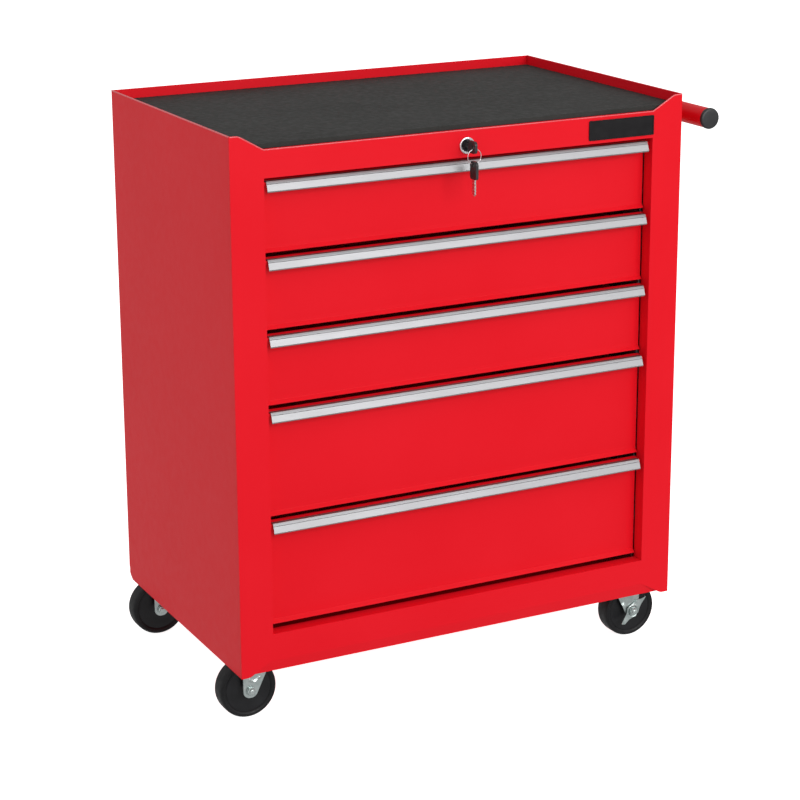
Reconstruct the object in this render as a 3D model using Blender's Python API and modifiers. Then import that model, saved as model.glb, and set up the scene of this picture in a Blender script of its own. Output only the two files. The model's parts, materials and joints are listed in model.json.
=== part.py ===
"""Five-drawer rolling tool cart: sheet-metal cabinet, lock, side handle and four casters.

Metres, +Z up, -Y is the drawer side. Every piece is drawn in cabinet coordinates (X and Y
from the middle of the cabinet, Z from the floor), and one empty moves the whole cart so
that the origin lies on the floor under the middle of its bounding box.
"""
import bmesh
import bpy
from math import acos, ceil, cos, pi, radians, sin, tan
from mathutils import Matrix, Vector

# ---------------------------------------------------------------- driving dimensions
WIDTH = 0.650                 # cabinet, outside
DEPTH = 0.400                 # face of the front frame to the back panel
HEIGHT = 0.7745               # floor to the top of the side walls
BODY_BOTTOM = 0.0725          # floor to the lowest edge of the cabinet
SHEET = 0.001                 # cabinet sheet
GAP = 0.0003                  # between pieces that touch
STILE = 0.045                 # width of the front frame beside the drawers
CORNER_FLAT = 0.012           # level part of the raised corners of the front frame
CORNER_DROP = 0.019           # rails lie this far inside the corners, top and bottom
OPENING_BOTTOM = 0.126
OPENING_TOP = 0.7195
RECESS = 0.019                # drawer fronts behind the face of the frame
HEM = 0.0022                  # thickness of a folded edge

DRAWER_TOP = 0.713            # top edge of the upper drawer front
SMALL_PITCH, TALL_PITCH = 0.098, 0.147
PITCHES = [SMALL_PITCH] * 3 + [TALL_PITCH] * 2
DRAWER_GAP = 0.0075
FRONT_HALF = 0.2782           # half widths of drawer front, pull and tray
PULL_HALF = 0.275
TRAY_HALF = 0.265
TRAY_SHEET = 0.0008
TRAY_BACK = 0.155
SLIDE_HEIGHT = 0.038          # middle of the slides above the drawer front's lower edge

MAT_THICKNESS = 0.006
WHEEL_RADIUS, WHEEL_HALF = 0.0395, 0.0125
CASTER_TOP = 0.1025
CASTER_Y = {"front": -0.152, "rear": 0.161}
RIGID_AXLE_X = -0.300
SWIVEL_X, TRAIL = 0.267, 0.020
FORK_INNER, FORK_SHEET = 0.015, 0.0022
AXLE_RADIUS, AXLE_HOLE = 0.003, 0.0034

HANDLE_X, HANDLE_Z = WIDTH / 2 + 0.048, 0.7365
HANDLE_RADIUS, HANDLE_HALF = 0.0135, 0.193
CAP_RADIUS = HANDLE_RADIUS + 0.0007

LOCK_Z = 0.735
PLUG_RADIUS = 0.007
LOCK_LIFT = 0.010             # the lock bar rises this far in a quarter turn
KEY_HOLE_Y = -0.2200          # hole in the key's bow, which carries the ring
KEY_HOLE_RADIUS = 0.0027
RING_RADIUS, RING_WIRE = 0.0095, 0.0008
BOW_HALF, BOW_THICKNESS = 0.0078, 0.0036
BLADE_HALF, BLADE_THICKNESS = 0.0036, 0.0021

# ---------------------------------------------------------------- worked out from those
SIDE, FRONT, BACK = WIDTH / 2, -DEPTH / 2, DEPTH / 2
OPENING_HALF = SIDE - STILE
RAIL_TOP = HEIGHT - CORNER_DROP
RAIL_BOTTOM = BODY_BOTTOM + CORNER_DROP
FACE = FRONT + RECESS         # outer face of the drawer fronts
HEM_BOTTOM = RAIL_TOP + 0.0005    # the hems around the mat end just above the tray
LEFT_REACH = -RIGID_AXLE_X + WHEEL_RADIUS
RIGHT_REACH = HANDLE_X + CAP_RADIUS
FRONT_REACH = -KEY_HOLE_Y + BOW_HALF
ORIGIN = Vector(((RIGHT_REACH - LEFT_REACH) / 2, (BACK - FRONT_REACH) / 2, 0.0))

COLOURS = {                   # base colour, metallic, roughness
    "red_paint": ((0.80, 0.012, 0.022), 0.0, 0.30),
    "mat_rubber": ((0.043, 0.043, 0.040), 0.0, 0.75),
    "pull_aluminium": ((0.74, 0.74, 0.73), 1.0, 0.35),
    "slide_steel": ((0.55, 0.56, 0.58), 1.0, 0.40),
    "caster_zinc": ((0.60, 0.64, 0.64), 1.0, 0.42),
    "wheel_rubber": ((0.018, 0.018, 0.020), 0.0, 0.55),
    "black_plastic": ((0.020, 0.020, 0.022), 0.0, 0.45),
    "lock_chrome": ((0.78, 0.78, 0.80), 1.0, 0.15),
    "key_steel": ((0.42, 0.42, 0.44), 1.0, 0.30),
}

parts = bpy.data.collections.new("tool_cart")
homes = {}                    # cabinet coordinates of each empty


# ---------------------------------------------------------------- modelling helpers
def clear_scene():
    for thing in list(bpy.context.scene.objects):
        bpy.data.objects.remove(thing, do_unlink=True)
    bpy.context.scene.collection.children.link(parts)


def make_material(slot):
    colour, metallic, roughness = COLOURS[slot]
    made = bpy.data.materials.new(slot)
    made.use_nodes = True
    shader = made.node_tree.nodes["Principled BSDF"]
    shader.inputs["Base Color"].default_value = (*colour, 1.0)
    shader.inputs["Metallic"].default_value = metallic
    shader.inputs["Roughness"].default_value = roughness
    return made


def solid(mesh):
    """A loose working object around a mesh, with its faces pointing out."""
    work = bmesh.new()
    work.from_mesh(mesh)
    bmesh.ops.remove_doubles(work, verts=work.verts, dist=1e-6)
    bmesh.ops.recalc_face_normals(work, faces=work.faces)
    work.to_mesh(mesh)
    work.free()
    made = bpy.data.objects.new("work", mesh)
    parts.objects.link(made)
    return made


def evaluated_mesh(thing):
    graph = bpy.context.evaluated_depsgraph_get()
    return bpy.data.meshes.new_from_object(thing.evaluated_get(graph))


def baked(thing, placement=Matrix()):
    """The working object with its modifiers applied, moved by a matrix."""
    mesh = evaluated_mesh(thing)
    mesh.transform(placement @ thing.matrix_world)
    bpy.data.objects.remove(thing, do_unlink=True)
    return solid(mesh)


def block(x0, x1, y0, y1, z0, z1):
    work = bmesh.new()
    bmesh.ops.create_cube(work, size=1.0)
    size = Matrix.Diagonal((x1 - x0, y1 - y0, z1 - z0, 1.0))
    middle = Matrix.Translation(((x0 + x1) / 2, (y0 + y1) / 2, (z0 + z1) / 2))
    work.transform(middle @ size)
    mesh = bpy.data.meshes.new("block")
    work.to_mesh(mesh)
    work.free()
    return solid(mesh)


def fillet(corners, step=15.0):
    """Closed outline from (a, b) or (a, b, radius) corners; a radius makes an arc."""
    outline = []
    for i, corner in enumerate(corners):
        here = Vector(corner[:2])
        if len(corner) == 2:
            outline.append(tuple(here))
            continue
        before = (Vector(corners[i - 1][:2]) - here).normalized()
        after = (Vector(corners[(i + 1) % len(corners)][:2]) - here).normalized()
        half = acos(max(-1.0, min(1.0, before.dot(after)))) / 2
        centre = here + (before + after).normalized() * corner[2] / sin(half)
        start = here + before * corner[2] / tan(half) - centre
        turn = pi - 2 * half
        sense = 1 if before.cross(after) < 0 else -1
        count = max(1, ceil(turn / radians(step)))
        for k in range(count + 1):
            a = sense * turn * k / count
            outline.append((centre.x + start.x * cos(a) - start.y * sin(a),
                            centre.y + start.x * sin(a) + start.y * cos(a)))
    return outline


def circle(a, b, radius, count=24):
    return [(a + radius * cos(2 * pi * k / count), b + radius * sin(2 * pi * k / count))
            for k in range(count)]


def rectangle(a0, a1, b0, b1):
    return [(a0, b0), (a1, b0), (a1, b1), (a0, b1)]


def bent_sheet(line, thickness):
    """Outline of a sheet of even thickness whose middle follows an open line."""
    path = [Vector(p) for p in line]
    left, right = [], []
    for i, here in enumerate(path):
        back = (here - path[i - 1]).normalized() if i else None
        ahead = (path[i + 1] - here).normalized() if i + 1 < len(path) else None
        along = ((back or ahead) + (ahead or back)).normalized()
        across = Vector((-along.y, along.x))
        reach = thickness / 2 / abs(across.dot(Vector((-(ahead or back).y, (ahead or back).x))))
        left.append(tuple(here + across * reach))
        right.append(tuple(here - across * reach))
    return left + right[::-1]


def prism(axis, outline, start, end, holes=()):
    """A flat outline with holes, given in (y, z), (x, z) or (x, y), made solid along axis."""
    curve = bpy.data.curves.new("outline", "CURVE")
    curve.dimensions = "2D"
    curve.fill_mode = "BOTH"
    curve.extrude = (end - start) / 2
    for loop in (outline, *holes):
        spline = curve.splines.new("POLY")
        spline.points.add(len(loop) - 1)
        for point, (a, b) in zip(spline.points, loop):
            point.co = (a, b, 0.0, 1.0)
        spline.use_cyclic_u = True
    flat = bpy.data.objects.new("outline", curve)
    parts.objects.link(flat)
    middle = (start + end) / 2
    turns = {
        "X": Matrix(((0, 0, 1, middle), (1, 0, 0, 0), (0, 1, 0, 0), (0, 0, 0, 1))),
        "Y": Matrix(((1, 0, 0, 0), (0, 0, -1, middle), (0, 1, 0, 0), (0, 0, 0, 1))),
        "Z": Matrix(((1, 0, 0, 0), (0, 1, 0, 0), (0, 0, 1, middle), (0, 0, 0, 1))),
    }
    return baked(flat, turns[axis])


def turned(axis, profile, place, steps=32, closed=False):
    """A turned solid: (radius, distance along axis) points, about an axis through place."""
    mesh = bpy.data.meshes.new("profile")
    count = len(profile)
    edges = [(i, (i + 1) % count) for i in range(count if closed else count - 1)]
    mesh.from_pydata([(radius, 0.0, along) for radius, along in profile], edges, [])
    shape = bpy.data.objects.new("profile", mesh)
    parts.objects.link(shape)
    screw = shape.modifiers.new("Screw", "SCREW")
    screw.steps = screw.render_steps = steps
    screw.use_merge_vertices = True
    screw.merge_threshold = 1e-5
    turn = {"X": Matrix.Rotation(pi / 2, 4, "Y"), "Y": Matrix.Rotation(-pi / 2, 4, "X"),
            "Z": Matrix()}[axis]
    return baked(shape, Matrix.Translation(place) @ turn)


def rod(axis, radius, start, end, place, steps=24):
    return turned(axis, [(0, start), (radius, start), (radius, end), (0, end)], place, steps)


def tube(axis, outer, inner, start, end, place, steps=32):
    ring = [(inner, start), (outer, start), (outer, end), (inner, end)]
    return turned(axis, ring, place, steps, closed=True)


def combine(base, others, operation):
    for other in others:
        step = base.modifiers.new(operation, "BOOLEAN")
        step.operation = operation
        step.solver = "EXACT"
        step.object = other
        base = baked(base)
        bpy.data.objects.remove(other, do_unlink=True)
    return base


def weld(first, *others):
    return combine(first, others, "UNION")


def cut(first, *cutters):
    return combine(first, cutters, "DIFFERENCE")


def mirrored(thing):
    """The same piece for the other side of the cabinet."""
    mesh = thing.data.copy()
    mesh.transform(Matrix.Diagonal((-1.0, 1.0, 1.0, 1.0)))
    return solid(mesh)


def pivot(name, place, parent):
    """An empty on a joint's axis."""
    empty = bpy.data.objects.new(name, None)
    parts.objects.link(empty)
    homes[name] = Vector(place)
    empty.location = homes[name] - homes[parent.name]
    empty.parent = parent
    empty.empty_display_size = 0.03
    return empty


def add(name, thing, slot, body):
    """Names a finished piece, colours it and hangs it on its body's empty."""
    thing.name = thing.data.name = name
    thing.data.transform(Matrix.Translation(-homes[body.name]))
    thing.parent = body
    thing.data.materials.clear()
    thing.data.materials.append(materials[slot])
    thing.data.shade_smooth()
    thing.data.set_sharp_from_angle(angle=radians(32))


# ---------------------------------------------------------------- cabinet
def front_frame():
    """Stiles and rails in one sheet, turned in around the drawers."""
    edge = OPENING_HALF
    flat = SIDE - CORNER_FLAT
    right = [(edge, RAIL_BOTTOM, 0.010), (flat, BODY_BOTTOM, 0.012), (SIDE, BODY_BOTTOM),
             (SIDE, HEIGHT), (flat, HEIGHT, 0.012), (edge, RAIL_TOP, 0.004)]
    left = [(-corner[0], *corner[1:]) for corner in reversed(right)]
    opening = rectangle(-edge, edge, OPENING_BOTTOM, OPENING_TOP)
    lock_hole = circle(0.0, LOCK_Z, 0.0095)
    face = prism("Y", fillet(right + left), FRONT, FRONT + SHEET, [opening, lock_hole])
    rim = rectangle(-edge - SHEET, edge + SHEET, OPENING_BOTTOM - SHEET, OPENING_TOP + SHEET)
    returns = prism("Y", rim, FRONT + SHEET / 2, FRONT + RECESS, [opening])
    toe = [(FRONT + SHEET / 2, RAIL_BOTTOM + 0.002), (FRONT + SHEET / 2, RAIL_BOTTOM),
           (FRONT + 0.0045, BODY_BOTTOM + 0.002)]
    reach = edge + 0.030
    toe_edge = prism("X", bent_sheet(toe, SHEET), -reach, reach)
    return weld(face, returns, toe_edge)


def side_panel():
    """Right-hand side: skin with hemmed edges and flanges for the frame and the back."""
    start, end = FRONT + SHEET + GAP, BACK - SHEET - GAP
    outline = fillet([(start, BODY_BOTTOM), (end - 0.010, BODY_BOTTOM, 0.006),
                      (end, BODY_BOTTOM + 0.007, 0.006), (end, HEIGHT), (start, HEIGHT)])
    skin = prism("X", outline, SIDE - SHEET, SIDE)
    inner, deep = SIDE - HEM, SIDE - 0.016
    lap = SHEET / 2
    top_hem = block(inner, SIDE - lap, start + 0.002, end - 0.002, HEM_BOTTOM, HEIGHT)
    low_hem = block(inner, SIDE - lap, start + 0.002, end - 0.020, BODY_BOTTOM,
                    BODY_BOTTOM + 0.008)
    front_flange = block(deep, SIDE - lap, start, start + SHEET, RAIL_BOTTOM + 0.02,
                         RAIL_TOP - 0.02)
    back_flange = block(deep, SIDE - lap, end - SHEET, end, BODY_BOTTOM + 0.06,
                        RAIL_TOP - 0.02)
    return weld(skin, top_hem, low_hem, front_flange, back_flange)


def back_panel():
    """Back skin with a hemmed top edge and two guides for the lock bar."""
    skin = block(-SIDE, SIDE, BACK - SHEET, BACK, BODY_BOTTOM + 0.017, HEIGHT)
    hem = block(-SIDE + 0.006, SIDE - 0.006, BACK - HEM, BACK - SHEET / 2, HEM_BOTTOM, HEIGHT)
    guides = []
    for height in (0.300, 0.620):
        low, high = height - 0.008, height + 0.008
        strap = block(-0.0125, 0.0125, 0.1914, 0.1929, low, high)
        cheeks = [block(min(x), max(x), 0.1920, BACK - SHEET / 2, low, high)
                  for x in ((-0.0125, -0.011), (0.011, 0.0125))]
        guides.append(weld(strap, *cheeks))
    return weld(skin, hem, *guides)


def folded_sheet(x, y0, y1, z, front_reach, back_reach):
    """A level sheet about height z with its edges folded; a reach below zero folds down."""
    sheet = block(-x, x, y0, y1, z - SHEET / 2, z + SHEET / 2)

    def fold(x0, x1, start, end, reach):
        return block(x0, x1, start, end, min(z, z + reach), max(z, z + reach))

    return weld(sheet, fold(-x, x, y0, y0 + SHEET, front_reach),
                fold(-x, x, y1 - SHEET, y1, back_reach),
                fold(-x, -x + SHEET, y0 + 0.002, y1 - 0.002, back_reach),
                fold(x - SHEET, x, y0 + 0.002, y1 - 0.002, back_reach))


def slide_rack(slide_heights):
    """Right-hand rack: two channel posts with the fixed rails of the drawer slides."""
    web, outside = OPENING_HALF - 0.0005, SIDE - 0.003
    posts = []
    for y in (-0.155, 0.158):
        channel = [(outside, y - 0.020), (web, y - 0.020), (web, y + 0.020),
                   (outside, y + 0.020)]
        posts.append(prism("Z", bent_sheet(channel, 0.0012), CASTER_TOP + 0.0025,
                           RAIL_TOP - 0.009))
    rails = []
    for z in slide_heights:
        line = [(0.2684, z - 0.0145), (0.2684, z - 0.0174), (0.2784, z - 0.0174),
                (0.2784, z + 0.0174), (0.2684, z + 0.0174), (0.2684, z + 0.0145)]
        rails.append(prism("Y", bent_sheet(line, 0.0014), -0.165, 0.177))
    return weld(posts[0], posts[1], *rails)


def make_cabinet(cart, slide_heights):
    add("front_frame", front_frame(), "red_paint", cart)
    panel = side_panel()
    add("side_panel_left", mirrored(panel), "red_paint", cart)
    add("side_panel_right", panel, "red_paint", cart)
    add("back_panel", back_panel(), "red_paint", cart)
    inside = SIDE - SHEET - 0.0005
    tray = folded_sheet(inside, FRONT + SHEET + 0.0005, BACK - 0.0015, RAIL_TOP - SHEET / 2,
                        -0.007, -0.015)
    add("top_tray", tray, "red_paint", cart)
    mat_top = RAIL_TOP + GAP + MAT_THICKNESS
    mat = block(-SIDE + 0.004, SIDE - 0.004, FRONT + 0.0035, BACK - 0.0045,
                RAIL_TOP + GAP, mat_top)
    add("top_mat", mat, "mat_rubber", cart)
    pan = folded_sheet(inside, FRONT + 0.012, BACK - 0.0025, CASTER_TOP + GAP + SHEET / 2,
                       0.012, 0.012)
    add("floor_pan", pan, "red_paint", cart)
    rack = slide_rack(slide_heights)
    add("slide_rack_left", mirrored(rack), "slide_steel", cart)
    add("slide_rack_right", rack, "slide_steel", cart)


def make_handle(cart):
    """Tube beside the cabinet on two welded arms, closed with end plugs."""
    axis = (HANDLE_X, 0.0, HANDLE_Z)
    bar = tube("Y", HANDLE_RADIUS, HANDLE_RADIUS - 0.0015, -HANDLE_HALF, HANDLE_HALF, axis)
    arms = []
    for y in (-0.120, 0.120):
        place = (0.0, y, HANDLE_Z)
        stem = rod("X", 0.009, SIDE + 0.001, HANDLE_X - HANDLE_RADIUS + 0.006, place)
        foot = fillet([(y - 0.020, HANDLE_Z - 0.022, 0.006), (y + 0.020, HANDLE_Z - 0.022, 0.006),
                       (y + 0.020, HANDLE_Z + 0.022, 0.006), (y - 0.020, HANDLE_Z + 0.022, 0.006)])
        arms += [prism("X", foot, SIDE + GAP, SIDE + GAP + 0.002), stem]
    add("side_handle", weld(bar, *arms), "red_paint", cart)
    stem_radius = HANDLE_RADIUS - 0.0015 - GAP
    for end, name in ((-1, "handle_cap_front"), (1, "handle_cap_rear")):
        face = HANDLE_HALF + GAP
        profile = [(0, face - 0.012), (stem_radius, face - 0.012), (stem_radius, face),
                   (CAP_RADIUS, face), (CAP_RADIUS, face + 0.0028),
                   (CAP_RADIUS - 0.0015, face + 0.0042), (0, face + 0.0048)]
        cap = turned("Y", [(r, end * d) for r, d in profile], axis)
        add(name, cap, "black_plastic", cart)


# ---------------------------------------------------------------- drawers
def drawer_front(low, high):
    """Front sheet: lip, flange and slope behind the pull, flared foot and flange below."""
    half = SHEET / 2
    line = [(FACE - 0.0115, high - 0.004), (FACE - 0.0115, high - half),
            (FACE - 0.0070, high - half), (FACE + half, high + 0.0012),
            (FACE + half, low + 0.0054), (FACE - 0.0035, low + 0.0010),
            (FACE - 0.0025, low + half), (FACE + 0.012, low + half)]
    sheet = prism("X", bent_sheet(line, SHEET), -FRONT_HALF, FRONT_HALF)
    sides = [block(min(e), max(e), FACE + half, FACE + 0.012, low + 0.008, high - 0.003)
             for e in ((-FRONT_HALF, -FRONT_HALF + SHEET), (FRONT_HALF - SHEET, FRONT_HALF))]
    return weld(sheet, *sides)


def drawer_tray(low, high):
    """Tray channel with rolled-in edges, a back wall and the catch for the lock bar."""
    half = TRAY_SHEET / 2
    side, lip = TRAY_HALF - half, TRAY_HALF - 0.007
    start = FACE + SHEET + GAP
    line = [(-lip, high - half), (-side, high - half), (-side, low + half),
            (side, low + half), (side, high - half), (lip, high - half)]
    channel = prism("Y", bent_sheet(line, TRAY_SHEET), start, TRAY_BACK)
    back = block(-side, side, TRAY_BACK - TRAY_SHEET, TRAY_BACK, low + half, high - 0.001)
    catch_line = [(TRAY_BACK - half, high - 0.0124), (TRAY_BACK + 0.0144, high - 0.0124),
                  (TRAY_BACK + 0.0144, high - 0.021)]
    catch = prism("X", bent_sheet(catch_line, 0.0012), -0.010, 0.010)
    return weld(channel, back, catch)


def drawer_pull(high):
    """Extruded strip along the top edge: flat web, bevelled shoulder and sloping face."""
    line = [(FACE - 0.0075, high + 0.0009), (FRONT + 0.0058, high + 0.0009),
            (FRONT + 0.0040, high - 0.0026), (FRONT + 0.0012, high - 0.0106),
            (FRONT + 0.0021, high - 0.0117)]
    return prism("X", bent_sheet(line, 0.0012), -PULL_HALF, PULL_HALF)


def slide_runner(z):
    """Right-hand moving rail of a slide, a channel inside the fixed rail."""
    line = [(0.2752, z - 0.0122), (0.2661, z - 0.0122), (0.2661, z + 0.0122),
            (0.2752, z + 0.0122)]
    return prism("Y", bent_sheet(line, 0.0012), FACE + 0.0135, 0.175)


def make_drawer(number, low, high, cart):
    body = pivot(f"drawer_{number}_slide", (0.0, FACE, high), cart)
    name = f"drawer_{number}_"
    add(name + "front", drawer_front(low, high), "red_paint", body)
    add(name + "tray", drawer_tray(low + 0.008, high - 0.012), "red_paint", body)
    add(name + "pull", drawer_pull(high), "pull_aluminium", body)
    runner = slide_runner(low + SLIDE_HEIGHT)
    add(name + "runner_left", mirrored(runner), "slide_steel", body)
    add(name + "runner_right", runner, "slide_steel", body)


# ---------------------------------------------------------------- lock, key and lock bar
def key_solid(end, hole, shoulder, tip, place):
    """Key along one line: moulded bow from end to shoulder, blade with four cuts to tip."""
    side = 1 if tip > shoulder else -1
    cuts = []
    for k in range(4):
        start = tip - side * (0.003 + 0.004 * k)
        cuts += [(start, -BLADE_HALF), (start - side * 0.0015, 0.0012 - BLADE_HALF),
                 (start - side * 0.0025, 0.0012 - BLADE_HALF)]
    root = shoulder - side * 0.003
    blade = [(root, BLADE_HALF), (tip - side * 0.003, BLADE_HALF), (tip, 0.0), *cuts,
             (root, -BLADE_HALF)]
    head = fillet([(end, -BOW_HALF, 0.0050), (end, BOW_HALF, 0.0050),
                   (shoulder, BOW_HALF, 0.0025), (shoulder, -BOW_HALF, 0.0025)])
    eye = circle(hole, 0.0, KEY_HOLE_RADIUS, 16)
    thick, thin = BOW_THICKNESS / 2, BLADE_THICKNESS / 2
    bow = prism("X", [place(*p) for p in head], -thick, thick, [[place(*p) for p in eye]])
    return weld(bow, prism("X", [place(*p) for p in blade], -thin, thin))


def make_lock(cart, catch_heights):
    axis = (0.0, 0.0, LOCK_Z)
    bezel = [(PLUG_RADIUS + 0.0004, -0.172), (PLUG_RADIUS + 0.0004, -0.2022),
             (PLUG_RADIUS + 0.0010, -0.2028), (0.0100, -0.2028), (0.0110, -0.2018),
             (0.0110, FRONT - GAP), (0.0092, FRONT - GAP), (0.0092, -0.172)]
    add("lock_barrel", turned("Y", bezel, axis, closed=True), "lock_chrome", cart)

    plug_body = pivot("lock_turn", axis, cart)
    plug = weld(rod("Y", PLUG_RADIUS, -0.2024, -0.1720, axis, 32),
                block(-0.0025, 0.0025, -0.1730, -0.1660, LOCK_Z - 0.0025, LOCK_Z + 0.0025))
    slot = block(-0.0014, 0.0014, -0.2040, -0.1825, LOCK_Z - 0.0043, LOCK_Z + 0.0043)
    add("lock_plug", cut(plug, slot), "lock_chrome", plug_body)

    crank = LOCK_LIFT / 2
    sleeve = rod("Y", 0.0055, -0.1715, -0.1600, axis)
    socket = block(-0.0028, 0.0028, -0.1730, -0.1655, LOCK_Z - 0.0028, LOCK_Z + 0.0028)
    shaft = weld(cut(sleeve, socket), rod("Y", 0.003, -0.1610, 0.1885, axis),
                 rod("Y", 0.0095, 0.1875, 0.1900, axis),
                 rod("Y", 0.0015, 0.1890, 0.1970, (-crank, 0.0, LOCK_Z - crank), 16))
    add("lock_rod", shaft, "slide_steel", plug_body)

    bar_body = pivot("lock_lift", (0.0, 0.195, LOCK_Z), cart)
    strip = block(-0.010, 0.010, 0.1940, 0.1960, CASTER_TOP + 0.017, LOCK_Z - 0.0105)
    head = block(-0.014, 0.014, 0.1940, 0.1960, LOCK_Z - 0.0145, LOCK_Z + 0.0075)
    hooks = []
    for z in catch_heights:
        hooks.append(block(-0.006, 0.006, 0.1630, 0.1945, z - 0.0165, z - 0.0140))
        hooks.append(block(-0.006, 0.006, 0.1630, 0.1650, z - 0.0160, z - 0.0030))
    window = block(-0.0091, -0.0030, 0.1900, 0.2000, LOCK_Z - crank - 0.0021,
                   LOCK_Z - crank + 0.0021)
    add("lock_bar", cut(weld(strip, head, *hooks), window), "slide_steel", bar_body)
    return plug_body


def make_keys(plug_body):
    hang = KEY_HOLE_RADIUS - RING_WIRE - GAP
    key_body = pivot("key_pull", (0.0, KEY_HOLE_Y, LOCK_Z), plug_body)
    key = key_solid(KEY_HOLE_Y - 0.0050, KEY_HOLE_Y, -0.2060, -0.1835,
                    lambda along, across: (along, LOCK_Z + across))
    add("key", key, "key_steel", key_body)

    top = LOCK_Z - hang
    ring_body = pivot("ring_swing", (0.0, KEY_HOLE_Y, top), key_body)
    wire = circle(RING_RADIUS, 0.0, RING_WIRE, 10)
    ring = turned("Y", wire, (0.0, KEY_HOLE_Y, top - RING_RADIUS), 40, closed=True)
    add("key_ring", ring, "lock_chrome", ring_body)

    bottom = top - 2 * RING_RADIUS
    spare_body = pivot("spare_swing", (0.0, KEY_HOLE_Y, bottom), ring_body)
    eye = bottom - hang
    spare = key_solid(0.0050, 0.0, -0.0180, -0.0400,
                      lambda along, across: (KEY_HOLE_Y + across, eye + along))
    add("spare_key", spare, "key_steel", spare_body)


# ---------------------------------------------------------------- casters
def wheel(x, y):
    """Moulded wheel: bored hub, dished sides, raised rim and slightly crowned tread."""
    half = [(AXLE_HOLE, 0.0142), (0.0085, 0.0142), (0.0100, 0.0105),
            (WHEEL_RADIUS - 0.0090, 0.0100), (WHEEL_RADIUS - 0.0065, 0.0122),
            (WHEEL_RADIUS - 0.0027, WHEEL_HALF), (WHEEL_RADIUS - 0.0013, 0.0119),
            (WHEEL_RADIUS - 0.0004, 0.0095), (WHEEL_RADIUS, 0.0045)]
    profile = [(r, -w) for r, w in half] + [(r, w) for r, w in reversed(half)]
    return turned("Y", profile, (x, y, WHEEL_RADIUS), closed=True)


def leg_pair(outline, x, y):
    """Both legs of a fork, drawn from the axle, with their axle holes."""
    placed = [(x + a, WHEEL_RADIUS + b) for a, b in fillet(outline)]
    hole = circle(x, WHEEL_RADIUS, AXLE_HOLE)
    outer = FORK_INNER + FORK_SHEET
    return [prism("Y", placed, y - outer, y - FORK_INNER, [hole]),
            prism("Y", placed, y + FORK_INNER, y + outer, [hole])]


def axle_bolt(x, y, head_start):
    """Bolt along Y with a hexagon head on the drawer side and a nut behind."""
    place = (x, y, WHEEL_RADIUS)
    nut = FORK_INNER + FORK_SHEET + 0.0004
    return weld(rod("Y", AXLE_RADIUS, -head_start - 0.003, nut + 0.005, place, 16),
                rod("Y", 0.0057, -head_start - 0.004, -head_start, place, 6),
                rod("Y", 0.0057, nut, nut + 0.004, place, 6))


def make_rigid_caster(end, cart):
    """Fixed caster under the left side, its wheel set outwards from its plate."""
    x, y = RIGID_AXLE_X, CASTER_Y[end]
    top = CASTER_TOP - WHEEL_RADIUS
    legs = leg_pair([(-0.010, -0.010, 0.0095), (0.007, -0.010, 0.0090), (0.0225, 0.022, 0.012),
                     (0.024, 0.032), (0.024, top - 0.001), (-0.010, top - 0.001)], x, y)
    plate = fillet([(x - 0.018, y - 0.030, 0.005), (x + 0.048, y - 0.030, 0.005),
                    (x + 0.048, y + 0.030, 0.005), (x - 0.018, y + 0.030, 0.005)])
    bracket = weld(prism("Z", plate, CASTER_TOP - 0.0025, CASTER_TOP), *legs)
    name = f"caster_{end}_left_"
    add(name + "bracket", bracket, "caster_zinc", cart)
    outer = FORK_INNER + FORK_SHEET + 0.0004
    add(name + "axle", axle_bolt(x, y, outer), "caster_zinc", cart)
    body = pivot(name + "roll", (x, y, WHEEL_RADIUS), cart)
    add(name + "wheel", wheel(x, y), "wheel_rubber", body)


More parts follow.
